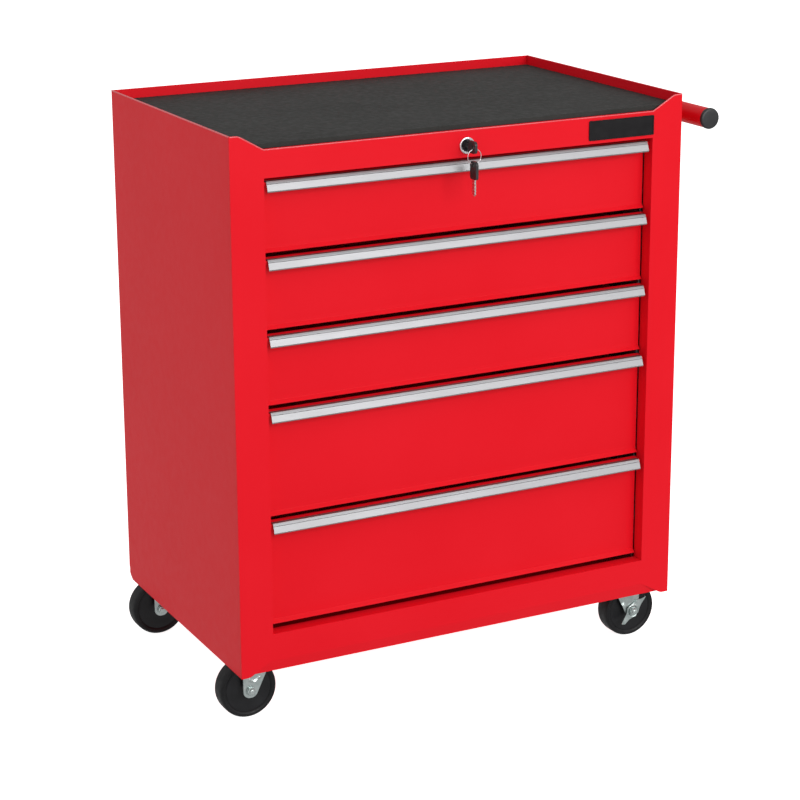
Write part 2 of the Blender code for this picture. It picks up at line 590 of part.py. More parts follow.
def make_swivel_caster(end, cart):
    """Braked swivel caster under the right side."""
    x, y = SWIVEL_X, CASTER_Y[end]
    name = f"caster_{end}_right_"
    plate = fillet([(x - 0.030, y - 0.030, 0.005), (x + 0.030, y - 0.030, 0.005),
                    (x + 0.030, y + 0.030, 0.005), (x - 0.030, y + 0.030, 0.005)])
    race = [(0, -0.0010), (0.0205, -0.0010), (0.0195, -0.0055), (0.0165, -0.0080),
            (0.0045, -0.0080), (0.0045, -0.0112), (0.0075, -0.0114), (0.0070, -0.0138),
            (0, -0.0142)]
    head = weld(prism("Z", plate, CASTER_TOP - 0.0025, CASTER_TOP),
                turned("Z", race, (x, y, CASTER_TOP)))
    add(name + "plate", head, "caster_zinc", cart)

    fork_body = pivot(name + "swivel", (x, y, CASTER_TOP), cart)
    axle_x = x + TRAIL
    crown_top, outer = CASTER_TOP - 0.0084, FORK_INNER + FORK_SHEET
    crown = fillet([(x - 0.017, y - outer, 0.012), (x + 0.032, y - outer),
                    (x + 0.032, y + outer), (x - 0.017, y + outer, 0.012)])
    top = crown_top - WHEEL_RADIUS - 0.001
    legs = leg_pair([(0.010, -0.010, 0.0095), (0.0125, top), (-0.034, top, 0.004),
                     (-0.0223, 0.023, 0.030), (-0.007, -0.010, 0.0090)], axle_x, y)
    fork = weld(prism("Z", crown, crown_top - FORK_SHEET, crown_top,
                      [circle(x, y, 0.0052, 20)]), *legs)
    add(name + "fork", fork, "caster_zinc", fork_body)
    lever_face = outer + 0.0006
    lever_sheet = 0.0018
    add(name + "axle", axle_bolt(axle_x, y, lever_face + lever_sheet + 0.0005),
        "caster_zinc", fork_body)

    roll = pivot(name + "roll", (axle_x, y, WHEEL_RADIUS), fork_body)
    add(name + "wheel", wheel(axle_x, y), "wheel_rubber", roll)

    brake_body = pivot(name + "brake_turn", (axle_x, y, WHEEL_RADIUS), fork_body)
    leaf = [(-0.0219, -0.0148, 0.001), (-0.0151, -0.0167, 0.002), (-0.0049, -0.0120, 0.012),
            (0.0029, -0.0093, 0.012), (0.0088, -0.0019, 0.012), (0.0146, 0.0093, 0.020),
            (0.0214, 0.0241, 0.0006), (0.0166, 0.0175, 0.010), (0.0078, 0.0150, 0.012),
            (-0.0085, 0.0062, 0.008), (-0.0105, -0.0046, 0.010)]
    lever = prism("Y", [(axle_x + a, WHEEL_RADIUS + b) for a, b in fillet(leaf, 20.0)],
                  y - lever_face - lever_sheet, y - lever_face,
                  [circle(axle_x, WHEEL_RADIUS, AXLE_HOLE)])
    add(name + "brake", lever, "caster_zinc", brake_body)


# ---------------------------------------------------------------- assembly
clear_scene()
materials = {slot: make_material(slot) for slot in COLOURS}
base = bpy.data.objects.new("cart_origin", None)
parts.objects.link(base)
homes[base.name] = Vector((0.0, 0.0, 0.0))
base.location = -ORIGIN

drawer_edges = []
edge = DRAWER_TOP
for pitch in PITCHES:
    drawer_edges.append((edge - pitch + DRAWER_GAP, edge))
    edge -= pitch

make_cabinet(base, [low + SLIDE_HEIGHT for low, high in drawer_edges])
make_handle(base)
for number, (low, high) in enumerate(drawer_edges, 1):
    make_drawer(number, low, high, base)
plug = make_lock(base, [high - 0.012 - 0.021 for low, high in drawer_edges])
make_keys(plug)
for end in CASTER_Y:
    make_rigid_caster(end, base)
    make_swivel_caster(end, base)
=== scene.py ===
"""Looks of the tool cart: materials, fine surfaces, small fittings, light and camera.

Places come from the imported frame; the few sizes named here are the driving dimensions of the
pressed, moulded and turned pieces that stand for the plain CAD ones.
"""
import json
from math import acos, ceil, cos, exp, pi, radians, sin, tan

import bmesh
import bpy
from mathutils import Matrix, Vector


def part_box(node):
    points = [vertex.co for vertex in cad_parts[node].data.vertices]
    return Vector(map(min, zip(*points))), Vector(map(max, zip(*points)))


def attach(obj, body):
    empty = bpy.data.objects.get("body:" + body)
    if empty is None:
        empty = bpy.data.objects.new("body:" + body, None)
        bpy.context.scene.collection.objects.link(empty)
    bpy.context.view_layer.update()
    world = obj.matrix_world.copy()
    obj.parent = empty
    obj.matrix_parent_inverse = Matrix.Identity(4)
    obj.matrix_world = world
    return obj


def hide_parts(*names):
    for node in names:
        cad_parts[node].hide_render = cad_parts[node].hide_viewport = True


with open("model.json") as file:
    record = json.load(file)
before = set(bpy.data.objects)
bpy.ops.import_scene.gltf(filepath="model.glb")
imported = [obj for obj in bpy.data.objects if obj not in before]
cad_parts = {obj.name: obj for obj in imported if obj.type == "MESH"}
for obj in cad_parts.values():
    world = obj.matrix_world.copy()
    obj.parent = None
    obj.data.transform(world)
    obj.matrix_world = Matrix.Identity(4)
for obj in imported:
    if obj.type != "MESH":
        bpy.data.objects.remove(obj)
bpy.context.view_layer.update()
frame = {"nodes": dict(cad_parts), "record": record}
nodes = frame["nodes"]
record = frame["record"]
slot_of_node = {row["node"]: row["material_slot"] for row in record["subparts"]}
body_of_node = {node: body for body, members in record["behaviour"]["bodies"].items()
                for node in members}

# ---------------------------------------------------------------- sizes and places
frame_low, frame_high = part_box("front_frame")
MIDDLE_X = (frame_low.x + frame_high.x) / 2       # middle of the cabinet
SIDE = (frame_high.x - frame_low.x) / 2           # its half width
FACE_Y = frame_low.y                              # face of the front frame
BACK_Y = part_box("back_panel")[1].y
RAIL_TOP = frame_high.z - 0.019                   # top of the rail between the raised corners
CORNER_FLAT, STILE = 0.012, 0.045
OPENING = (RAIL_TOP - 0.6295, RAIL_TOP - 0.036)   # bottom and top of the drawer opening

EDGE = 0.00035                                    # rounding of a sheet's cut edge
FOLD = 0.0012                                     # rounding of the folds around the drawers
BEAD = 0.0009                                     # radius of the rolled edges along the top
BEAD_INSET = BEAD * 0.6                           # how far their middles lie inside the faces
SAME_SPOT = 1e-5                                  # vertices of a solid nearer than this are one
TRAY_SHEET = 0.0008
RUNNER_RIVETS = (-0.130, -0.020, 0.110)           # along a runner, from its middle
DRAWERS = range(1, 6)
ENDS = ("front", "rear")

LABEL_WIDTH, LABEL_HEIGHT = 0.0995, 0.026
LABEL_MIDDLE = Vector((MIDDLE_X + 0.23075, FACE_Y, RAIL_TOP - 0.0185))

FORK_SHEET, FORK_INNER = 0.0022, 0.015            # caster legs: thickness, half gap
FORK_OUTER = FORK_INNER + FORK_SHEET
PLATE_SHEET, PLATE_CORNER = 0.0025, 0.005         # caster plates under the floor pan
PLATE_BOLT = 0.0235                               # half the distance between their bolts
LEVER_SHEET, LEVER_GAP = 0.0018, 0.0006
HEX_RADIUS, AXLE_RADIUS, BORE = 0.0057, 0.003, 0.0034
PRESS_EDGE, PRESS_ROUND = 50.0, 0.0006            # edges of a pressed piece: least angle, radius

BOW_HALF, BOW_THICK = 0.0078, 0.0036              # moulded head of a key
BLADE_HALF, BLADE_THICK = 0.0036, 0.0021
KEY_EYE = 0.0027                                  # radius of the hole for the ring

FLOOR_GLOW, SKY = 0.90, 0.57
CAMERA_PLACE = Vector((-1.359, -2.635, 1.2565))   # from the cabinet's middle on the floor
CAMERA_LENS, CAMERA_SHIFT = 100.8, (0.05, -0.075)


# ---------------------------------------------------------------- materials
class Look:
    """A Principled material built from a few noise patterns."""

    def __init__(self, name, colour, metallic, roughness, **uniform):
        self.material = bpy.data.materials.new(name)
        self.material.use_nodes = True
        self.tree = self.material.node_tree
        self.shader = self.tree.nodes["Principled BSDF"]
        self.place = self.tree.nodes.new("ShaderNodeTexCoord").outputs["Object"]
        self.normal = None
        self.shader.inputs["Base Color"].default_value = (*colour, 1.0)
        self.shader.inputs["Metallic"].default_value = metallic
        self.shader.inputs["Roughness"].default_value = roughness
        for socket, value in uniform.items():
            self.shader.inputs[socket.replace("_", " ")].default_value = value

    def link(self, output, socket):
        self.tree.links.new(output, socket)

    def stretched(self, stretch):
        mapping = self.tree.nodes.new("ShaderNodeMapping")
        mapping.inputs["Scale"].default_value = stretch
        self.link(self.place, mapping.inputs["Vector"])
        return mapping.outputs["Vector"]

    def noise(self, scale, detail=2.0, stretch=(1.0, 1.0, 1.0)):
        made = self.tree.nodes.new("ShaderNodeTexNoise")
        made.inputs["Scale"].default_value = scale
        made.inputs["Detail"].default_value = detail
        self.link(self.stretched(stretch), made.inputs["Vector"])
        return made.outputs["Fac"]

    def cells(self, scale, feature="F1"):
        made = self.tree.nodes.new("ShaderNodeTexVoronoi")
        made.feature = feature
        made.inputs["Scale"].default_value = scale
        self.link(self.place, made.inputs["Vector"])
        return made.outputs["Distance"]

    def span(self, factor, low, high, start=0.3, end=0.7):
        made = self.tree.nodes.new("ShaderNodeMapRange")
        made.inputs["From Min"].default_value = start
        made.inputs["From Max"].default_value = end
        made.inputs["To Min"].default_value = low
        made.inputs["To Max"].default_value = high
        self.link(factor, made.inputs["Value"])
        return made.outputs["Result"]

    def colours(self, factor, *stops):
        ramp = self.tree.nodes.new("ShaderNodeValToRGB")
        elements = ramp.color_ramp.elements
        while len(elements) < len(stops):
            elements.new(0.5)
        for element, (position, colour) in zip(elements, stops):
            element.position = position
            element.color = (*colour, 1.0)
        self.link(factor, ramp.inputs["Fac"])
        self.link(ramp.outputs["Color"], self.shader.inputs["Base Color"])

    def roughness(self, factor, low, high):
        self.link(self.span(factor, low, high), self.shader.inputs["Roughness"])

    def bump(self, height, distance, strength=1.0):
        made = self.tree.nodes.new("ShaderNodeBump")
        made.inputs["Strength"].default_value = strength
        made.inputs["Distance"].default_value = distance
        self.link(height, made.inputs["Height"])
        if self.normal is not None:
            self.link(self.normal, made.inputs["Normal"])
        self.normal = made.outputs["Normal"]
        self.link(self.normal, self.shader.inputs["Normal"])


def red_paint():
    """Powder coat: even red, a soft orange-peel surface and a satin shine."""
    look = Look("red_paint", (0.78, 0.008, 0.018), 0.0, 0.36, Specular_IOR_Level=0.11)
    look.colours(look.noise(5.0, 3.0), (0.35, (0.768, 0.006, 0.015)), (0.65, (0.788, 0.008, 0.018)))
    look.roughness(look.noise(90.0, 4.0), 0.33, 0.39)
    look.bump(look.noise(520.0, 2.0), 0.00006)
    look.bump(look.noise(2400.0, 2.0), 0.00002)
    return look.material


def painted_highlight_edge():
    """The same red paint made paler and glossier for the rolled edges; the paler colour is a painted
    highlight.
    """
    # Paler than red_paint: the raised green and blue paint a highlight along the rolled edges.
    look = Look("painted_highlight_edge", (0.80, 0.10, 0.12), 0.0, 0.26, Specular_IOR_Level=0.60)
    look.colours(look.noise(18.0, 3.0), (0.35, (0.78, 0.09, 0.11)), (0.65, (0.82, 0.13, 0.15)))
    look.roughness(look.noise(90.0, 4.0), 0.22, 0.32)
    look.bump(look.noise(520.0, 2.0), 0.00003)
    return look.material


def mat_rubber():
    """Dark liner with a fine pebbled face."""
    look = Look("mat_rubber", (0.038, 0.038, 0.036), 0.0, 0.72, Specular_IOR_Level=0.18)
    look.colours(look.noise(9.0, 5.0), (0.3, (0.027, 0.027, 0.025)), (0.7, (0.035, 0.035, 0.033)))
    look.roughness(look.noise(140.0, 3.0), 0.60, 0.78)
    look.bump(look.cells(620.0), 0.00012)
    look.bump(look.noise(3000.0, 2.0), 0.00003)
    return look.material


def pull_aluminium():
    """Extruded aluminium with fine lines along its length."""
    look = Look("pull_aluminium", (0.36, 0.36, 0.37), 1.0, 0.50)
    along = look.noise(900.0, 3.0, (0.006, 1.0, 1.0))
    broad = look.noise(55.0, 4.0, (0.25, 1.0, 1.0))
    look.colours(broad, (0.3, (0.33, 0.33, 0.34)), (0.7, (0.39, 0.39, 0.40)))
    look.roughness(broad, 0.46, 0.56)
    look.bump(along, 0.00004)
    return look.material


def slide_steel():
    """Zinc-plated strip with a rolled grain along the slide."""
    look = Look("slide_steel", (0.56, 0.57, 0.58), 1.0, 0.38)
    look.colours(look.noise(30.0, 5.0), (0.3, (0.48, 0.50, 0.52)), (0.7, (0.64, 0.65, 0.66)))
    look.roughness(look.noise(70.0, 4.0), 0.30, 0.48)
    look.bump(look.noise(1200.0, 2.0, (1.0, 0.02, 1.0)), 0.00003)
    return look.material


def caster_zinc():
    """Bright zinc plate with the cloudy look of pressed steel."""
    look = Look("caster_zinc", (0.45, 0.49, 0.48), 1.0, 0.40)
    look.colours(look.noise(120.0, 5.0), (0.3, (0.42, 0.48, 0.47)), (0.5, (0.50, 0.56, 0.55)),
                 (0.72, (0.58, 0.62, 0.61)))
    look.roughness(look.noise(260.0, 4.0), 0.28, 0.48)
    look.bump(look.noise(900.0, 3.0), 0.00004)
    return look.material


def wheel_rubber():
    """Moulded black rubber, a little greyer where it has rolled."""
    look = Look("wheel_rubber", (0.006, 0.006, 0.007), 0.0, 0.50, Specular_IOR_Level=0.28)
    look.colours(look.noise(60.0, 5.0), (0.3, (0.004, 0.004, 0.005)), (0.7, (0.009, 0.009, 0.010)))
    look.roughness(look.noise(180.0, 4.0), 0.42, 0.60)
    look.bump(look.noise(1500.0, 2.0), 0.00004)
    return look.material


def wheel_disc():
    """Satin moulded disc inside the tyre."""
    look = Look("wheel_disc", (0.007, 0.007, 0.009), 0.0, 0.38, Specular_IOR_Level=0.30)
    look.colours(look.noise(40.0, 4.0), (0.3, (0.005, 0.005, 0.006)), (0.7, (0.010, 0.010, 0.012)))
    look.roughness(look.noise(120.0, 4.0), 0.32, 0.46)
    look.bump(look.noise(700.0, 2.0), 0.00004)
    return look.material


def black_plastic():
    """Black plastic from a lightly etched mould."""
    look = Look("black_plastic", (0.016, 0.016, 0.018), 0.0, 0.42)
    look.colours(look.noise(80.0, 3.0), (0.3, (0.013, 0.013, 0.015)), (0.7, (0.021, 0.021, 0.023)))
    look.roughness(look.noise(300.0, 3.0), 0.34, 0.50)
    look.bump(look.noise(2600.0, 2.0), 0.00003)
    return look.material


def label_black():
    """Smooth enamel of the blank plate."""
    look = Look("label_black", (0.008, 0.007, 0.008), 0.0, 0.34, Specular_IOR_Level=0.22)
    look.colours(look.noise(70.0, 3.0), (0.3, (0.006, 0.005, 0.006)), (0.7, (0.010, 0.009, 0.010)))
    look.roughness(look.noise(150.0, 3.0), 0.28, 0.40)
    look.bump(look.noise(900.0, 2.0), 0.00002)
    return look.material


def lock_chrome():
    """Polished die casting with faint ripples."""
    look = Look("lock_chrome", (0.80, 0.80, 0.82), 1.0, 0.14)
    look.roughness(look.noise(400.0, 4.0), 0.08, 0.22)
    look.bump(look.noise(700.0, 2.0), 0.00002)
    return look.material


def lock_face():
    """Dark metal face of the plug, with a random darker and lighter tone."""
    look = Look("lock_face", (0.10, 0.095, 0.10), 1.0, 0.30)
    look.colours(look.noise(600.0, 3.0), (0.3, (0.07, 0.065, 0.07)), (0.7, (0.15, 0.14, 0.15)))
    look.roughness(look.noise(500.0, 3.0), 0.24, 0.40)
    look.bump(look.noise(1500.0, 2.0), 0.00002)
    return look.material


def key_steel():
    """Nickel-plated key blank with grinding lines across the blade."""
    look = Look("key_steel", (0.66, 0.65, 0.63), 1.0, 0.26)
    look.roughness(look.noise(500.0, 3.0), 0.18, 0.36)
    look.bump(look.noise(2200.0, 2.0, (1.0, 1.0, 0.05)), 0.00003)
    return look.material


looks = {make.__name__: make() for make in (
    red_paint, painted_highlight_edge, mat_rubber, pull_aluminium, slide_steel, caster_zinc, wheel_rubber, wheel_disc,
    black_plastic, label_black, lock_chrome, lock_face, key_steel)}


# ---------------------------------------------------------------- mesh helpers
AXES = {                                          # across, up and along each axis
    "X": (Vector((0, 1, 0)), Vector((0, 0, 1)), Vector((1, 0, 0))),
    "Y": (Vector((1, 0, 0)), Vector((0, 0, 1)), Vector((0, 1, 0))),
    "Z": (Vector((1, 0, 0)), Vector((0, 1, 0)), Vector((0, 0, 1))),
}


def middle_of(node):
    low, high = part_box(node)
    return (low + high) / 2


def fillet(corners, step=10.0):
    """Closed outline from (a, b) or (a, b, radius) corners; a radius makes an arc."""
    outline = []
    for i, corner in enumerate(corners):
        here = Vector(corner[:2])
        if len(corner) == 2:
            outline.append(tuple(here))
            continue
        before = (Vector(corners[i - 1][:2]) - here).normalized()
        after = (Vector(corners[(i + 1) % len(corners)][:2]) - here).normalized()
        half = acos(max(-1.0, min(1.0, before.dot(after)))) / 2
        centre = here + (before + after).normalized() * corner[2] / sin(half)
        start = here + before * corner[2] / tan(half) - centre
        turn = pi - 2 * half
        sense = 1 if before.cross(after) < 0 else -1
        count = max(1, ceil(turn / radians(step)))
        for k in range(count + 1):
            a = sense * turn * k / count
            outline.append((centre.x + start.x * cos(a) - start.y * sin(a),
                            centre.y + start.x * sin(a) + start.y * cos(a)))
    return outline


def open_fillet(corners):
    """The same for an open line: only the corners between its two ends are rounded."""
    ends = {0, len(corners) - 1}
    return fillet([corner[:2] if i in ends else corner for i, corner in enumerate(corners)])


def round_rectangle(a0, a1, b0, b1, radius):
    return fillet([(a0, b0, radius), (a1, b0, radius), (a1, b1, radius), (a0, b1, radius)])


def circle(a, b, radius, count=32):
    return [(a + radius * cos(2 * pi * k / count), b + radius * sin(2 * pi * k / count))
            for k in range(count)]


def curve_mesh(loops, bevel=0.0, extrude=0.0, sides=2, filled=False):
    """A bmesh of a curve object: a filled outline, or round wire along open or closed loops."""
    curve = bpy.data.curves.new("curve", "CURVE")
    curve.dimensions = "2D" if filled else "3D"
    curve.fill_mode = "BOTH" if filled else "FULL"
    curve.extrude = extrude
    curve.bevel_depth = bevel
    curve.bevel_resolution = sides
    curve.use_fill_caps = not filled
    for points, closed in loops:
        spline = curve.splines.new("POLY")
        spline.points.add(len(points) - 1)
        for point, place in zip(spline.points, points):
            point.co = (*place, 1.0)
        spline.use_cyclic_u = closed
    made = bpy.data.objects.new("curve", curve)
    bpy.context.scene.collection.objects.link(made)
    graph = bpy.context.evaluated_depsgraph_get()
    mesh = bpy.data.meshes.new_from_object(made.evaluated_get(graph))
    bpy.data.objects.remove(made, do_unlink=True)
    work = bmesh.new()
    work.from_mesh(mesh)
    bpy.data.meshes.remove(mesh)
    bmesh.ops.remove_doubles(work, verts=work.verts, dist=1e-6)
    return work


def slab(outline, axis, start, end, holes=()):
    """A flat outline with holes, made solid from start to end along an axis."""
    loops = [([(a, b, 0.0) for a, b in loop], True) for loop in (outline, *holes)]
    work = curve_mesh(loops, extrude=(end - start) / 2, filled=True)
    across, up, along = AXES[axis]
    turn = Matrix((across, up, along)).transposed().to_4x4()
    work.transform(Matrix.Translation(along * (start + end) / 2) @ turn)
    return work


def pressed(outline, axis, start, end, cell, relief, holes=()):
    """A plate pressed into shape: relief(a, b, facing) is how far a point moves along the axis.

    facing is -1 on the face at start and 1 on the face at end.
    """
    work = slab(outline, axis, start, end, holes)
    across, up, along = AXES[axis]
    middle = (start + end) / 2
    for direction in (across, up):
        reach = [vert.co.dot(direction) for vert in work.verts]
        low, high = min(reach), max(reach)
        count = ceil((high - low) / cell)
        for k in range(1, count):
            bmesh.ops.bisect_plane(work, geom=work.verts[:] + work.edges[:] + work.faces[:],
                                   plane_co=direction * (low + (high - low) * k / count),
                                   plane_no=direction)
    for vert in work.verts:
        facing = 1 if vert.co.dot(along) > middle else -1
        vert.co += along * relief(vert.co.dot(across), vert.co.dot(up), facing)
    return work


def lathe(work, profile, axis, centre, steps=64, closed=False):
    """Adds a turned shape from (radius, distance along the axis) points; 0 is a pole."""
    across, up, along = AXES[axis]
    rows = []
    for radius, reach in profile:
        row = []
        for k in range(steps if radius else 1):
            angle = 2 * pi * k / steps
            out = radius * (cos(angle) * across + sin(angle) * up)
            row.append(work.verts.new(Vector(centre) + along * reach + out))
        rows.append(row)
    following = rows[1:] + rows[:1] if closed else rows[1:]
    for low, high in zip(rows, following):
        for k in range(steps):
            corners = [low[k % len(low)], low[(k + 1) % len(low)],
                       high[(k + 1) % len(high)], high[k % len(high)]]
            corners = list(dict.fromkeys(corners))
            if len(corners) > 2:
                work.faces.new(corners)


def turned(profile, axis, centre, steps=64, closed=False):
    work = bmesh.new()
    lathe(work, profile, axis, centre, steps, closed)
    return work


def merged(*works):
    """One bmesh that holds several closed shapes."""
    whole = bmesh.new()
    for work in works:
        mesh = bpy.data.meshes.new("part")
        work.to_mesh(mesh)
        work.free()
        whole.from_mesh(mesh)
        bpy.data.meshes.remove(mesh)
    return whole


def rounded(work, width, segments=2, angle=30.0):
    """The same shape with every edge sharper than an angle rounded off."""
    edges = [edge for edge in work.edges if len(edge.link_faces) == 2
             and edge.calc_face_angle(0.0) > radians(angle)]
    bmesh.ops.bevel(work, geom=edges, offset=width, segments=segments, profile=0.5,
                    affect="EDGES", clamp_overlap=True)
    return work


def hexagon(work, axis, centre, sign, radius=HEX_RADIUS, height=0.004):
    """Adds a chamfered hexagon head or nut on a round washer face, standing along sign."""
    washer_radius, washer_height, head_start = radius * 1.12, 0.0006, 0.0005
    chamfer_start, chamfer_radius = height * 0.82, radius * 0.86
    washer = [(0, 0), (washer_radius, 0), (washer_radius, washer_height), (0, washer_height)]
    head = [(0, head_start), (radius, head_start), (radius, chamfer_start),
            (chamfer_radius, height), (0, height)]
    lathe(work, [(r, sign * d) for r, d in washer], axis, centre, steps=32)
    lathe(work, [(r, sign * d) for r, d in head], axis, centre, steps=6)


def dome(work, axis, centre, sign, radius, height):
    """Adds a rivet head, sunk a little into its sheet."""
    steps, sunk = 6, 0.0002
    angles = [pi / 2 * k / steps for k in range(steps)]
    arc = [(radius * cos(angle), sign * height * sin(angle)) for angle in angles]
    lathe(work, [(0, -sign * sunk), (radius, -sign * sunk), *arc, (0, sign * height)],
          axis, centre, steps=20)


def piece(name, work, body, look, sharp=32.0):
    """A finished shape, drawn in the frame, that rides on a body.

    Its normals are weighted by area, so that a large flat stays even beside its rounded edges.
    """
    bmesh.ops.recalc_face_normals(work, faces=work.faces)
    mesh = bpy.data.meshes.new(name)
    work.to_mesh(mesh)
    work.free()
    made = bpy.data.objects.new(name, mesh)
    bpy.context.scene.collection.objects.link(made)
    mesh.materials.append(looks[look])
    mesh.shade_smooth()
    mesh.set_sharp_from_angle(angle=radians(sharp))
    made.modifiers.new("even_flats", "WEIGHTED_NORMAL").keep_sharp = True
    graph = bpy.context.evaluated_depsgraph_get()
    made.data = bpy.data.meshes.new_from_object(made.evaluated_get(graph))
    made.modifiers.clear()
    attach(made, body)
    return made


def stand_for(node, work, sharp=32.0, look=None):
    """A finished shape that replaces a CAD node, on the same body and in the same slot."""
    slot = slot_of_node[node]
    made = piece(f"{node}_skin", work, body_of_node[node], look or slot, sharp)
    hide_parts(node)


def solid_of(node):
    """The shape of a CAD node."""
    work = bmesh.new()
    work.from_mesh(nodes[node].data)
    bmesh.ops.remove_doubles(work, verts=work.verts, dist=SAME_SPOT)
    return work


def merged_flats(node):
    """The shape of a CAD node with one face for each flat."""
    work = solid_of(node)
    flatter_than = radians(0.6)
    bmesh.ops.dissolve_limit(work, angle_limit=flatter_than, verts=work.verts,
                             edges=work.edges, use_dissolve_boundaries=False)
    return work


def refine(node, width=EDGE, segments=2):
    """Replaces a CAD node by its own shape with rounded edges."""
    stand_for(node, rounded(merged_flats(node), width, segments))


# ---------------------------------------------------------------- cabinet
def front_frame():
    """Frame with a soft fold around the drawers and a rolled bead along its top edge, whose paler paint
    is a painted highlight.
    """
    work = merged_flats("front_frame")
    margin, shortest = 0.0002, 0.1
    half_width = SIDE - STILE + margin

    def at_opening(vert):
        return (abs(vert.co.y - FACE_Y) < SAME_SPOT and abs(vert.co.x - MIDDLE_X) < half_width
                and OPENING[0] - margin < vert.co.z < OPENING[1] + margin)

    fold = [edge for edge in work.edges if at_opening(edge.verts[0]) and at_opening(edge.verts[1])
            and edge.calc_length() > shortest]
    bmesh.ops.bevel(work, geom=fold, offset=FOLD, segments=4, profile=0.5, affect="EDGES",
                    clamp_overlap=True)
    stand_for("front_frame", rounded(work, EDGE))
    top, rail, corner = frame_high.z - BEAD, RAIL_TOP - BEAD, SIDE - CORNER_FLAT
    half = [(SIDE - BEAD, top), (corner, top, 0.012), (SIDE - STILE, rail, 0.004)]
    path = [(-spot[0], *spot[1:]) for spot in half] + half[::-1]
    points = [(MIDDLE_X + a, FACE_Y + BEAD_INSET, b) for a, b in open_fillet(path)]
    bead("front_bead", [points])


def bead(name, lines):
    """Rolled edges along open lines, in the paler paint that is a painted highlight."""
    work = curve_mesh([(points, False) for points in lines], bevel=BEAD, sides=4)
    # The paler paint of these beads is a painted highlight along the edges.
    piece(name, work, "cabinet", "painted_highlight_edge", sharp=60.0)


def cabinet():
    """Folded sheets with rounded edges, and a rolled bead along both sides of the top in the paler paint
    of a painted highlight.
    """
    front_frame()
    for node in ("side_panel_left", "side_panel_right", "back_panel", "top_tray",
                 "floor_pan", "slide_rack_left", "slide_rack_right"):
        refine(node)
    bead("side_beads", [[(MIDDLE_X + side * (SIDE - BEAD_INSET), y, frame_high.z - BEAD_INSET)
                         for y in (FACE_Y + BEAD_INSET, BACK_Y - BEAD_INSET)]
                        for side in (-1, 1)])


def top_mat():
    """Liner with soft corners and a rolled edge."""
    low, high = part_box("top_mat")
    corner, edge = 0.004, 0.0024
    work = slab(round_rectangle(low.x, high.x, low.y, high.y, corner), "Z", low.z, high.z)
    stand_for("top_mat", rounded(work, edge, segments=4))


def label_plate():
    """Blank black plate with a raised border, beside the lock."""
    back, face, border_face = FACE_Y - 0.00005, FACE_Y - 0.0009, FACE_Y - 0.0015
    border_width = 0.0013

    def outline(inset, radius):
        half_width, half_height = LABEL_WIDTH / 2 - inset, LABEL_HEIGHT / 2 - inset
        return round_rectangle(LABEL_MIDDLE.x - half_width, LABEL_MIDDLE.x + half_width,
                               LABEL_MIDDLE.z - half_height, LABEL_MIDDLE.z + half_height,
                               radius)

    base = slab(outline(0.0003, 0.0012), "Y", face, back)
    border = slab(outline(0.0, 0.0015), "Y", border_face, back, [outline(border_width, 0.0006)])
    work = merged(base, rounded(border, 0.0003))
    piece("label_plate", work, "cabinet", "label_black")


def back_rivets():
    """Blind rivets down both edges of the back panel."""
    work = bmesh.new()
    low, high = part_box("back_panel")
    count, margin, inset = 7, 0.035, 0.009
    spacing = (high.z - low.z - 2 * margin) / (count - 1)
    for side in (-1, 1):
        for k in range(count):
            place = (MIDDLE_X + side * (SIDE - inset), BACK_Y, low.z + margin + spacing * k)
            dome(work, "Y", place, 1, radius=0.0032, height=0.0011)
    piece("back_rivets", work, "cabinet", "red_paint")


def side_handle():
    """Tube on two welded arms, each bolted to the side through its foot."""
    low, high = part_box("side_handle")
    axis = middle_of("handle_cap_front")
    radius = high.x - axis.x
    axis.y = 0.0
    wall, soft = 0.0015, 0.0005
    inner = radius - wall
    shapes = [turned([(inner, low.y), (radius - soft, low.y), (radius, low.y + soft),
                      (radius, high.y - soft), (radius - soft, high.y), (inner, high.y)],
                     "Y", axis, steps=96, closed=True)]
    bolts = bmesh.new()
    foot_sheet, foot_half_width, foot_half_height, bolt = 0.002, 0.020, 0.022, 0.0167
    start, end = MIDDLE_X + SIDE + 0.0003, axis.x - radius + 0.004
    for y in (FACE_Y + 0.080, FACE_Y + 0.320):
        foot = round_rectangle(y - foot_half_width, y + foot_half_width,
                               axis.z - foot_half_height, axis.z + foot_half_height, 0.006)
        shapes.append(rounded(slab(foot, "X", start, start + foot_sheet), 0.0006))
        face = start + foot_sheet - 0.0002
        arm = [(0, face), (0.0122, face), (0.0113, face + 0.0010), (0.0098, face + 0.0020),
               (0.0090, face + 0.0036), (0.0090, end - 0.0075), (0.0098, end - 0.0052),
               (0.0112, end - 0.0036), (0.0112, end), (0, end)]
        shapes.append(turned(arm, "X", (0.0, y, axis.z), steps=48))
        for z in (axis.z - bolt, axis.z + bolt):
            hexagon(bolts, "X", (start + foot_sheet, y, z), 1, radius=0.0042, height=0.0030)
    stand_for("side_handle", merged(*shapes))
    piece("handle_bolts", bolts, "cabinet", "slide_steel")
    for node, end_y, sense in (("handle_cap_front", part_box("handle_cap_front")[0].y, -1),
                               ("handle_cap_rear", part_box("handle_cap_rear")[1].y, 1)):
        profile = [(0, 0.0168), (inner - 0.0005, 0.0168), (inner - 0.0003, 0.0048),
                   (radius + 0.0007, 0.0048), (radius + 0.0007, 0.0024),
                   (radius + 0.0003, 0.0014), (radius - 0.0006, 0.0007),
                   (radius - 0.0022, 0.0003), (radius * 0.5, 0.0001), (0, 0.0)]
        cap = turned([(r, end_y - sense * depth) for r, depth in profile], "Y", axis, steps=96)
        stand_for(node, cap)


